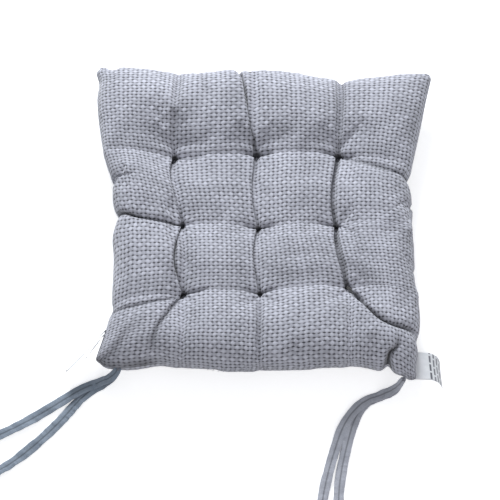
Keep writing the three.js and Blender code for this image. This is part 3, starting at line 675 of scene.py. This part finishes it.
def woven(warp_at, weft_at, seed):
    """Plain weave over yarn numbers. A yarn has a round back and sinks under every second
    crossing by a half sine. Gives the height of the yarn on top, from 0 to 1, which way it
    runs, and a shade for each yarn's own colour."""
    u, v = np.meshgrid(warp_at, weft_at)
    draw = np.random.default_rng(seed)
    most = max(WARPS[-1], WEFTS[-1]) + 4
    sway = [draw.normal(0, YARN_SWAY, most) for _ in range(2)]
    u = u + np.interp(v, np.arange(most), sway[0] * SWAY_SHARE) + 0.05 * np.sin(0.37 * v)
    v = v + np.interp(u, np.arange(most), sway[1] * SWAY_SHARE) + 0.05 * np.sin(0.31 * u)
    i, j = np.floor(u), np.floor(v)
    back_u = np.sqrt(np.maximum(0, 1 - (2 * (u - i) - 1) ** 2))
    back_v = np.sqrt(np.maximum(0, 1 - (2 * (v - j) - 1) ** 2))
    weft = WEFT_BACK * back_v ** 0.5 + WEFT_WAVE * np.sin(np.pi * u) * np.cos(np.pi * j)
    warp = WARP_BACK * back_u ** 0.5 - WARP_WAVE * np.sin(np.pi * v) * np.cos(np.pi * i)
    open_share = draw.uniform(0.5, 1.25, (most, most))
    open_share = open_share[np.round(v).astype(int) + 1, np.round(u).astype(int) + 1]
    off_warp, off_weft = np.abs(u - np.round(u)), np.abs(v - np.round(v))
    hole = np.exp(-(off_warp / HOLE_HALF_WIDTH) ** 3 - (off_weft / HOLE_HALF_HEIGHT) ** 2)
    slit = SLIT_DEPTH * np.exp(-(off_warp / SLIT_HALF_WIDTH) ** 2)
    open_hole = np.maximum(np.minimum(0.95, 0.9 * open_share) * hole, slit * open_share)
    height = np.clip(np.maximum(weft, warp), 0, 1) * (1 - open_hole)
    shade_i, shade_j = draw.normal(0, 1, most), draw.normal(0, 1, most)
    over = weft > warp
    shade = np.where(over, shade_j[j.astype(int) + 1], shade_i[i.astype(int) + 1])
    return height, over.astype(float), shade


def fan_rim(fine, few, step):
    """Triangles that join the border of a fine grid of point numbers to that of a grid with
    one point for every step of its cells, round all four edges."""
    half = step // 2
    triangles = []
    for a, b in ((fine[0], few[0]), (fine[:, -1], few[:, -1]),
                 (fine[-1, ::-1], few[-1, ::-1]), (fine[::-1, 0], few[::-1, 0])):
        start = np.arange(len(b) - 1) * step
        for k in range(half):
            triangles.append(np.stack([b[:-1], a[start + k + 1], a[start + k]], 1))
        triangles.append(np.stack([b[:-1], b[1:], a[start + half]], 1))
        for k in range(half, step):
            triangles.append(np.stack([b[1:], a[start + k + 1], a[start + k]], 1))
    return np.concatenate(triangles)


def yarn_places(counts, samples, form, axis):
    """Yarn numbers at even steps across a panel, and where on the panel each one lies when
    the yarns of a puff share out the real length of its cloth."""
    steps = np.linalg.norm(np.diff(form, axis=axis), axis=2).mean(axis=1 - axis)
    run = np.concatenate([[0], np.cumsum(steps)])
    t = np.linspace(0, 1, len(run))
    number = np.linspace(0, counts[-1], counts[-1] * samples + 1)
    at_stitches = np.interp(np.linspace(0, 1, PUFFS + 1), t, run)
    return number, np.interp(np.interp(number, counts, at_stitches), run, t)


def cover(name, form, shadow, side, samples, seed):
    """A panel as a closed shell: its woven outside on a fine grid, a plain inside one yarn
    to a cell and a cloth's thickness under it, and a turned edge between them."""
    warp_at, u = yarn_places(WARPS, samples, form, 1)
    weft_at, v = yarn_places(WEFTS, samples, form, 0)
    smooth = resample(form, u, v)
    rows, columns = smooth.shape[:2]
    outward = normals_of(smooth, side)
    height, over, shade = woven(warp_at, weft_at, seed)
    border = np.minimum(np.minimum(warp_at, warp_at[::-1])[None],
                        np.minimum(weft_at, weft_at[::-1])[:, None])
    proud = np.clip(border, 0, 1) * YARN_RELIEF * (height - 0.35)
    outer = smooth + outward * proud[..., None]
    level = side * smooth[..., 2]
    around = np.pad(level, samples, "edge")
    far = 2 * samples
    mean = (around[far:, samples:-samples] + around[:-far, samples:-samples]
            + around[samples:-samples, far:] + around[samples:-samples, :-far]) / 4
    inner = smooth - outward * CLOTH_THICKNESS
    inner[..., 2] -= side * highest(np.maximum(0, mean - level), samples)
    inner = inner[::samples, ::samples]
    toward = np.zeros_like(inner)
    toward[:, 0, 0], toward[:, -1, 0], toward[0, :, 1], toward[-1, :, 1] = 1, -1, 1, -1
    rim = np.zeros(inner.shape[:2], bool)
    rim[0], rim[-1], rim[:, 0], rim[:, -1] = True, True, True, True
    seam = smooth[::samples, ::samples] + TURNED_IN * toward + [0, 0, side * 0.0002]
    inner[rim] = seam[rim]
    uv = np.dstack(np.meshgrid(u * PANEL, v * PANEL))
    fine = np.arange(rows * columns).reshape(rows, columns)
    few = rows * columns + np.arange(rim.size).reshape(rim.shape)
    faces = [grid_faces(rows, columns).tolist(),
             grid_faces(*rim.shape, rows * columns)[:, ::-1].tolist(),
             fan_rim(fine, few, samples).tolist()]
    faces = [f if side > 0 else f[::-1] for part in faces for f in part]
    points = np.concatenate([outer.reshape(-1, 3), inner.reshape(-1, 3)])
    piece = new_piece(name, points, faces,
                      np.concatenate([uv.reshape(-1, 2), uv[::samples, ::samples].reshape(-1, 2)]))
    # The painted shade of folds, pits and curls, read onto the panel's grid as each point's deep
    # value.
    deep = np.clip(resample(shadow, u, v), 0, 1)
    for label, values, filler in (("height", height, 0.6), ("weft", over, 0), ("shade", shade, 0),
                                  ("deep", deep, 0)):
        layer = piece.data.attributes.new(label, "FLOAT", "POINT")
        both = np.concatenate([values.ravel(), np.full(rim.size, filler)])
        layer.data.foreach_set("value", both.astype(np.float32))
    return piece


def woven_cloth(name, light, mid, dark):
    """Soft yarn cloth with painted light and shade: pale on the yarns' backs and darker as each yarn
    sinks, near black in the gaps and deep in folds, pits and curls, and the weft a little lighter
    than the warp. Each yarn is also a little lighter or darker than the next, with loose fibres as
    fine bump and a faint sheen. The mesh's own values say where."""
    material, tree, shader = new_finish(name)
    height, weft, shade, deep = (node_output(tree, "Attribute", "Fac", attribute_name=label)
                                 for label in ("height", "weft", "shade", "deep"))
    # Painted light and shade of the weave's relief: pale on the yarns' backs, darker as each yarn
    # sinks, near black in the gaps.
    ramp = tree.nodes.new("ShaderNodeValToRGB")
    stops = ramp.color_ramp.elements
    stops[0].position, stops[0].color = 0.3, (*dark, 1)
    stops[1].position, stops[1].color = 0.9, (*light, 1)
    stops.new(0.62).color = (*mid, 1)
    feed(tree, ramp, {"Fac": height})
    uv = node_output(tree, "UVMap", "UV", uv_map="cloth")
    fuzz = node_output(tree, "TexNoise", "Fac", {"Vector": uv, "Scale": 1500, "Detail": 4})
    cloud = node_output(tree, "TexNoise", "Fac", {"Vector": uv, "Scale": 24, "Detail": 3})
    # Painted light and shade by the way a yarn runs: the weft a little lighter, the warp darker.
    way = node_output(tree, "MapRange", "Result", {"Value": weft, "To Min": 0.9, "To Max": 1.04})
    # Painted shade deep in folds, pits and where the panel curls under.
    hollow = node_output(tree, "MapRange", "Result", {"Value": deep, "To Min": 1, "To Max": 0.2})
    wide = node_output(tree, "MapRange", "Result", {
        "Value": cloud, "From Min": 0.3, "From Max": 0.7, "To Min": 0.86, "To Max": 1.1})
    grain = node_output(tree, "MapRange", "Result", {
        "Value": fuzz, "From Min": 0.25, "From Max": 0.75, "To Min": 0.8, "To Max": 1.15})
    tone = node_output(tree, "Math", "Value", {0: shade, 1: 0.055, 2: wide},
                       operation="MULTIPLY_ADD")
    for share in (grain, way, hollow):
        tone = node_output(tree, "Math", "Value", {0: tone, 1: share}, operation="MULTIPLY")
    paint = node_output(tree, "VectorMath", "Vector", {0: ramp.outputs["Color"], "Scale": tone},
                        operation="SCALE")
    bump = node_output(tree, "Bump", "Normal", {
        "Height": fuzz, "Strength": 0.35, "Distance": 0.0004})
    feed(tree, shader, {"Base Color": paint, "Normal": bump, "Roughness": 0.95,
                        "Sheen Weight": 0.3, "Sheen Roughness": 0.6})
    return material


# From light to dark: the yarns' backs in painted light, the yarn where it sinks, and the gaps in
# painted shade.
yarn_cloth = woven_cloth("grey_yarn", (0.54, 0.55, 0.615), (0.435, 0.438, 0.495),
                         (0.05, 0.048, 0.058))
for name, form, shadow, side, samples in (
        ("top_cover", upper_form, upper_shadow, 1, TOP_SAMPLES),
        ("bottom_cover", lower_form, lower_shadow, -1, BOTTOM_SAMPLES)):
    panel = cover(name + "_cloth", form, shadow, side, samples, 5)
    panel.data.materials.append(yarn_cloth)
    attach(panel, "pad")
    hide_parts(name)

# ---- Filling -------------------------------------------------------------------
# Loose white polyester fibre, blown in through the gap in the rear seam. It fills both
# panels and is squeezed thin under each stitch.
FILL_CELLS = 96
FILL_GAP = 0.0042              # from the cloth's outside to the fibre
FILL_EDGE = 0.02               # how far in the fibre reaches its full gap
FILL_LUMP = 0.0006
FILL_PULL = 0.025              # share by which its edge is drawn towards the middle


def filling():
    """The form drawn in under the cloth, lumpy by noise waves, as one closed surface."""
    count = FILL_CELLS + 1
    t = np.linspace(0, 1, count)
    u, v = np.meshgrid(t, t)
    lumps = np.sin(41 * u + 3 * np.sin(17 * v)) * np.sin(37 * v + 2 * np.sin(23 * u))
    lumps = FILL_LUMP * (lumps - 1)
    shells = []
    for form, side in ((upper_form, 1), (lower_form, -1)):
        low = form.copy()
        low[..., 2] = -side * highest(-side * form[..., 2], 4)
        smooth = resample(low, t, t)
        shells.append(smooth + normals_of(smooth, side) * (lumps - FILL_GAP)[..., None])
    border = np.minimum(np.minimum(t, 1 - t)[None], np.minimum(t, 1 - t)[:, None])
    middle = (shells[0] + shells[1]) / 2
    open_share = np.clip(border * PANEL / FILL_EDGE, 0, 1)[..., None]
    for k, side in ((0, 1), (1, -1)):
        half = np.maximum(side * (shells[k] - middle)[..., 2:], 0.0003)
        shells[k] = middle + open_share * (shells[k] - middle)
        shells[k][..., 2:] = middle[..., 2:] + side * half * open_share
    centre = middle.reshape(-1, 3).mean(axis=0)
    toward = (centre - middle) * [1, 1, 0]
    pull = np.clip(1 - border * PANEL / FILL_EDGE, 0, 1)[..., None] * FILL_PULL
    shells = [shell + pull * toward for shell in shells]
    inner, faces = sewn_panels(count)[2:]
    points = np.concatenate([shells[0].reshape(-1, 3), shells[1][inner]])
    uv = np.dstack([u, v]) * PANEL
    return new_piece("fibre_fill", points, faces, np.concatenate([uv.reshape(-1, 2), uv[inner]]))


fibre = filling()
wadding, tree, shader = new_finish("fibre_wadding")
strands = node_output(tree, "TexNoise", "Fac", {"Scale": 400, "Detail": 8, "Distortion": 1.5})
tufted = node_output(tree, "Bump", "Normal", {
    "Height": strands, "Strength": 0.6, "Distance": 0.001})
feed(tree, shader, {"Base Color": (0.86, 0.85, 0.82, 1), "Normal": tufted, "Roughness": 1})
fibre.data.materials.append(wadding)
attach(fibre, "pad")
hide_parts("fibre_filling")

# ---- Stitches through the pad ---------------------------------------------------
# Each tuft is a few turns of strong grey thread through both panels, drawn tight: the
# strands lie side by side across the pit on top, and are knotted on the underside.
STRANDS = 4
STRAND_RADIUS = 0.00042
STITCH_SPAN = 0.0042           # between a stitch's two holes
LAY = 2200                     # turn of a two-ply thread, in radians a metre
STITCH_TURNS = [1.2, 1.5, 0.9, 1.7, 1.4, 1.6, 1.1, 1.8, 1.3]


def rod(line, radius, sides=8, twist=0.0):
    """Points and faces of a round rod along a line, closed by a smaller ring and a flat end.
    A twist above 0 gives it the lay of a two-ply thread: its section is an ellipse that
    turns along it."""
    line = np.asarray(line, float)
    along = unit(np.gradient(line, axis=0))
    guide = np.where(np.abs(along[:, 2:]) > 0.9, [[0.0, 1.0, 0.0]], [[0.0, 0.0, 1.0]])
    a = unit(np.cross(along, guide))
    b = np.cross(along, a)
    angle = np.linspace(0, 2 * np.pi, sides, endpoint=False)
    run = run_along(line)
    flat = 1 - (0.28 if twist else 0) * np.sin(angle[None] - run[:, None] * twist) ** 2
    size = np.full(len(line), radius)
    size[[0, -1]] *= 0.55
    ring = size[:, None, None] * flat[..., None] * (
        a[:, None] * np.cos(angle)[None, :, None] + b[:, None] * np.sin(angle)[None, :, None])
    points = (line[:, None] + ring).reshape(-1, 3)
    faces = grid_faces(len(line), sides, wrap=True)[:, ::-1].tolist()
    last = [k + (len(line) - 1) * sides for k in reversed(range(sides))]
    return points, [*faces, list(range(sides)), last]


def joined(parts):
    """Several bodies' points and faces as one list of each."""
    points, faces, first = [], [], 0
    for body_points, body_faces in parts:
        points.append(body_points)
        faces += [[k + first for k in face] for face in body_faces]
        first += len(body_points)
    return np.concatenate(points), faces


def pit(form, row, column):
    """Where the cloth lies at a stitch."""
    middle = (len(form) - 1) // PUFFS
    return form[row * middle, column * middle]


def stitch(name, upper, lower, turn):
    """Strands over the pit, down through the pad and out below into a knot."""
    across = np.array([math.cos(turn), math.sin(turn), 0])
    beside = np.array([-math.sin(turn), math.cos(turn), 0])
    t = np.linspace(-1, 1, 22)[:, None]
    parts = []
    for k in range(STRANDS):
        off = (k - (STRANDS - 1) / 2) * 1.75 * STRAND_RADIUS
        arch = STRAND_RADIUS + 0.0010 * (1 - t ** 4) - 0.0006 * abs(k - 1.5) / 1.5
        line = (upper + across * STITCH_SPAN / 2 * np.sign(t) * np.abs(t) ** 0.8
                + beside * off * (0.5 + 0.5 * (1 - t ** 2)) + [0, 0, 1] * arch)
        line[0, 2] -= 0.002
        line[-1, 2] -= 0.002
        parts.append(rod(line, STRAND_RADIUS, twist=LAY))
    core = np.stack([upper + [0, 0, 0.0004], (upper + lower) / 2, lower - [0, 0, 0.0004]])
    parts.append(rod(spline(core, np.linspace(0, 1, 14)), 0.0010, 10, 900))
    loop = np.linspace(0, 2.6 * 2 * np.pi, 60)[:, None]
    knot = (lower + across * 0.0015 * np.cos(loop) + beside * 0.0012 * np.sin(loop)
            - [0, 0, 1] * (0.0004 + 0.00028 * loop / 2 + 0.0003 * np.sin(2.5 * loop)))
    parts.append(rod(knot, STRAND_RADIUS, twist=LAY))
    for side in (-1, 1):
        tail = [knot[-1], knot[-1] + across * 0.003 * side + [0, 0, -0.0008],
                knot[-1] + across * 0.007 * side + beside * 0.002 + [0, 0, 0.0004]]
        parts.append(rod(spline(tail, np.linspace(0, 1, 12)), STRAND_RADIUS * 0.9, twist=LAY))
    points, faces = joined(parts)
    return new_piece(name, points, faces, points[:, :2] * 2)


def thread_finish(name, colour):
    """Twisted polyester thread: grey, with a soft sheen and fine fibres as bump."""
    material, tree, shader = new_finish(name)
    place = node_output(tree, "TexCoord", "Object")
    fibres = node_output(tree, "TexNoise", "Fac", {"Vector": place, "Scale": 2500})
    dark = [0.6 * c for c in colour]
    shade = node_output(tree, "Mix", "Result", {
        "Factor": fibres, "A": (*dark, 1), "B": (*colour, 1)}, data_type="RGBA")
    bump = node_output(tree, "Bump", "Normal", {
        "Height": fibres, "Strength": 0.4, "Distance": 0.0001})
    feed(tree, shader, {"Base Color": shade, "Normal": bump, "Roughness": 0.6,
                        "Sheen Weight": 0.3})
    return material


strong_thread = thread_finish("strong_thread", (0.13, 0.13, 0.155))
for k, turn in enumerate(STITCH_TURNS):
    row, column = k // 3 + 1, k % 3 + 1
    name = f"tuft_thread_{row}_{column}"
    above, below = (pit(form, row, column) for form in (upper_form, lower_form))
    piece = stitch(name + "_strands", above, below, turn)
    piece.data.materials.append(strong_thread)
    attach(piece, "pad")
    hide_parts(name)

# ---- Seam threads ----------------------------------------------------------------
# The machine stitches of the seam run all round just inside the rim. A gap in the rear
# seam, where the fibre went in, is closed by hand with slanting whip stitches.
CLOSING = (0.325, 0.675)       # share of the rear edge that is closed by hand
MACHINE_STITCH = 0.0042
WHIP_STITCH = 0.006
SEAM_INSET = 0.0016
MACHINE_RADIUS = 0.00028
WHIP_RADIUS = 0.0003


def rim_line(count):
    """The rim all round, from the front end of the hand-closed gap and back to it."""
    t = np.linspace(0, 1, count)
    rear, front, left, right = (spline(edge, t) for edge in (
        upper_form[0], upper_form[-1], upper_form[:, 0], upper_form[:, -1]))
    rest = [rear[t > CLOSING[1]], right[1:], front[::-1][1:], left[::-1][1:],
            rear[1:][t[1:] < CLOSING[0]]]
    return np.concatenate(rest), rear[(t > CLOSING[0]) & (t < CLOSING[1])]


def machine_stitches(line):
    """Short rods end to end along a line, each dipping into the cloth at both ends."""
    parts = []
    for start in np.arange(0, run_along(line)[-1] - MACHINE_STITCH, MACHINE_STITCH):
        dash = places_on(line, np.linspace(start, start + MACHINE_STITCH * 0.86, 5))
        parts.append(rod(dash, MACHINE_RADIUS, 6))
    return joined(parts)


def whip_stitches(line):
    """Slanting loops over the rim: each goes out under it and back over it."""
    parts = []
    for start in np.arange(0.001, run_along(line)[-1] - WHIP_STITCH, WHIP_STITCH):
        turn = np.linspace(-0.35, 0.35, 13)
        spot = places_on(line, start + WHIP_STITCH * 0.5 * (turn + 0.35) / 0.7)
        loop = np.stack([0 * turn, -0.0011 * np.cos(np.pi * turn / 0.7) - 0.0001,
                         0.0034 * np.sin(np.pi * turn / 0.7)], 1)
        parts.append(rod(spot + loop, WHIP_RADIUS, 6, LAY))
    return joined(parts)


seam_thread = thread_finish("seam_thread", (0.3, 0.3, 0.34))
round_line, closing_line = rim_line(500)
middle = np.array([0, 0, SEAM_LEVEL])
inward = unit((middle - round_line) * [1, 1, 0])
seams = {"edge_seam_thread": machine_stitches(round_line + inward * SEAM_INSET),
         "closing_seam_thread": whip_stitches(closing_line)}
for name, (points, faces) in seams.items():
    piece = new_piece(name + "_stitches", points, faces, points[:, :2])
    piece.data.materials.append(seam_thread)
    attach(piece, "pad")
    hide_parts(name)

# ---- Bar tacks -------------------------------------------------------------------
# Each pair of ties is held by one tack: many turns of thread out of the seam, over the
# two tapes, down through them and back, drawn tight beside each other.
TACK_TURNS = 6
TACK_RADIUS = 0.00024


def bar_tack(node):
    """Rounded loops side by side in the space of the tack's box, each a little askew."""
    low, high = (np.array(corner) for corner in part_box(node))
    centre, half = (low + high) / 2, (high - low) / 2
    turn = np.linspace(0, 2 * np.pi, 33)
    parts = []
    for k in range(TACK_TURNS):
        across = (k - (TACK_TURNS - 1) / 2) * 2 * TACK_RADIUS
        out = np.sign(np.cos(turn)) * np.abs(np.cos(turn)) ** 0.45 * (half[1] - TACK_RADIUS)
        rise = np.sign(np.sin(turn)) * np.abs(np.sin(turn)) ** 0.45 * (half[2] - TACK_RADIUS)
        loop = centre + np.stack([across + 0.0002 * np.sin(turn + k), out, rise], 1)
        parts.append(rod(loop, TACK_RADIUS, 6, LAY))
    return joined(parts)


for node in ("bartack_left", "bartack_right"):
    points, faces = bar_tack(node)
    piece = new_piece(node + "_thread", points, faces, points[:, :2])
    piece.data.materials.append(seam_thread)
    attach(piece, "pad")
    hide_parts(node)

# ---- Labels ----------------------------------------------------------------------
# White satin ribbon, cut hot so that its ends don't fray and caught in the side seams.
# The care label droops by the rear right corner; two leaves stand on edge by the left.
LABEL_THICKNESS = 0.0003
RIBBON_CELLS = 48


def ribbon(name, middle_line, edge_direction, width, bow):
    """A strip of ribbon along a line: its width lies along one direction, its ends and
    edges curl by a few tenths of a millimetre, and it has a thickness of its own."""
    t = np.linspace(0, 1, RIBBON_CELLS + 1)
    line = spline(middle_line, t)
    length = np.linalg.norm(np.diff(line, axis=0), axis=1).sum()
    direction = unit(np.asarray(edge_direction, float))
    along = unit(np.gradient(line, axis=0))
    face = unit(np.cross(along, direction))
    w = np.linspace(-0.5, 0.5, 25)
    curl = bow * (w ** 2 * 4 - 0.3)[None] * t[:, None] ** 2
    curl = curl + 0.0003 * np.sin(9 * t)[:, None] * np.sin(5 * w + 2 * t[:, None])
    middle = (line[:, None] + direction * (w * width)[None, :, None]
              + face[:, None] * curl[..., None])
    shift = face[:, None] * LABEL_THICKNESS / 2
    rows, columns = middle.shape[:2]
    count = rows * columns
    points = np.concatenate([(middle + shift).reshape(-1, 3), (middle - shift).reshape(-1, 3)])
    front = grid_faces(rows, columns)
    index = np.arange(count).reshape(rows, columns)
    border = np.concatenate([index[0], index[1:, -1], index[-1, -2::-1], index[-2:0:-1, 0]])
    next_one = np.roll(border, -1)
    wall = np.stack([next_one, border, border + count, next_one + count], 1)
    uv = np.dstack(np.broadcast_arrays((w + 0.5)[None], t[:, None])).reshape(-1, 2)
    piece = new_piece(name, points, np.concatenate([front, front[:, ::-1] + count, wall]),
                      np.concatenate([uv, uv]))
    return piece, length


def satin(name, bars):
    """White satin: fine ribs across, a soft gloss, soft random patches of painted shade for its
    creases, and printed grey bars of uneven length where the ribbon is a care label. The bars stand
    for print and spell nothing."""
    material, tree, shader = new_finish(name)
    uv = node_output(tree, "UVMap", "UV", uv_map="cloth")
    ribs = node_output(tree, "TexWave", "Fac", {"Vector": uv, "Scale": 26}, bands_direction="Y")
    bump = node_output(tree, "Bump", "Normal", {
        "Height": ribs, "Strength": 0.15, "Distance": 0.0001})
    # Painted shade: soft random patches of darker grey that stand for the ribbon's creases.
    crease_shade = node_output(tree, "TexNoise", "Fac", {"Vector": uv, "Scale": 5})
    colour = node_output(tree, "Mix", "Result", {
        "Factor": crease_shade, "A": (0.72, 0.74, 0.77, 1), "B": (0.9, 0.91, 0.92, 1)},
        data_type="RGBA")
    if bars:
        rows = node_output(tree, "TexBrick", "Color", {
            "Vector": uv, "Scale": 1, "Brick Width": 0.31, "Row Height": 0.115,
            "Mortar Size": 0.034, "Mortar Smooth": 0.1, "Mortar": (1, 1, 1, 1),
            "Color1": (0.16, 0.16, 0.18, 1), "Color2": (0.3, 0.3, 0.33, 1)}, offset=0.37)
        along = node_output(tree, "SeparateXYZ", "Y", {"Vector": uv})
        zone = node_output(tree, "MapRange", "Result", {
            "Value": along, "From Min": 0.36, "From Max": 0.37})
        colour = node_output(tree, "Mix", "Result", {"Factor": zone, "A": colour, "B": rows},
                             data_type="RGBA", blend_type="MULTIPLY")
    feed(tree, shader, {"Base Color": colour, "Normal": bump, "Roughness": 0.45,
                        "Sheen Weight": 0.2})
    return material


plain_satin = satin("plain_satin", False)
printed_satin = satin("printed_satin", True)
CARE_WIDTH = 0.034
SIDE_WIDTH = 0.024
SIDE_LEAN = (0.1, -0.36, 0.93)
care_line = [(0.1670, -0.1786, 0.0262), (0.1762, -0.1786, 0.0262), (0.1862, -0.1786, 0.0244),
             (0.1932, -0.1786, 0.0182), (0.1972, -0.1786, 0.0104), (0.1987, -0.1786, 0.0032)]
LABELS = {
    "care_label": ("care_label", care_line, (-0.0746, 0.9972, 0), CARE_WIDTH, 0.0006, printed_satin),
    "side_label_long": ("side_labels", [
        (-0.1790, -0.1351, 0.0253), (-0.1813, -0.1351, 0.0253), (-0.1903, -0.1451, 0.0217),
        (-0.2013, -0.1561, 0.0177), (-0.2123, -0.1671, 0.0147), (-0.2233, -0.1781, 0.0134)],
        SIDE_LEAN, SIDE_WIDTH, -0.0012, plain_satin),
    "side_label_short": ("side_labels", [
        (-0.1803, -0.1397, 0.0241), (-0.1826, -0.1397, 0.0241), (-0.1896, -0.1487, 0.0209),
        (-0.1961, -0.1567, 0.0174), (-0.2016, -0.1637, 0.0149)],
        SIDE_LEAN, SIDE_WIDTH, 0.0009, plain_satin),
}
for name, (body, line, direction, width, bow, finish) in LABELS.items():
    piece, length = ribbon(name + "_ribbon", line, direction, width, bow)
    piece.data.materials.append(finish)
    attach(piece, body)
    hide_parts(name)
